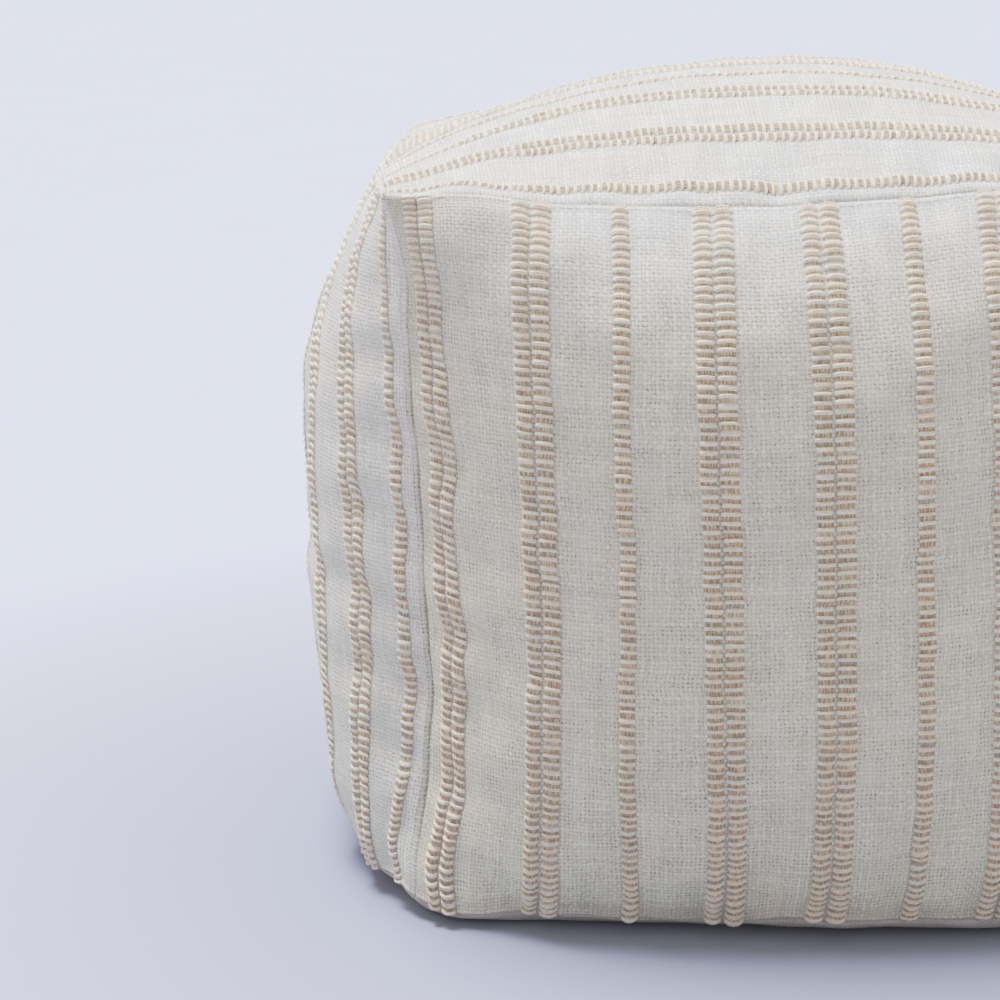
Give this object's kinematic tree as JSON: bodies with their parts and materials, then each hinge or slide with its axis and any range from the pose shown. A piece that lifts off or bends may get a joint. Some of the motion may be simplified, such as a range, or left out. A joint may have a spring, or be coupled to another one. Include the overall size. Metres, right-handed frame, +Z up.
{
  "type": "cube pouf stool",
  "caption": "Soft cube floor pouf with a crowned top, bulging sides, drawn-in seams and corded stripes, used as a low seat or footrest.",
  "frame": {"origin": "middle of the base, on the floor", "axes": "+Z up, the front panel faces -Y, and the right panel as seen from the front faces +X"},
  "size_m": [0.5627, 0.5578, 0.4595],
  "materials": {
    "corded_cotton": "open plain weave in off-white cotton with raised cords barred in cream and tan, matte",
    "plain_cotton": "off-white plain-woven cotton, matte"
  },
  "bodies": {
    "root": {"panel_front": "corded_cotton", "panel_right": "corded_cotton", "panel_back": "corded_cotton", "panel_left": "corded_cotton", "panel_top": "corded_cotton", "panel_base": "plain_cotton"}
  },
  "joints": []
}
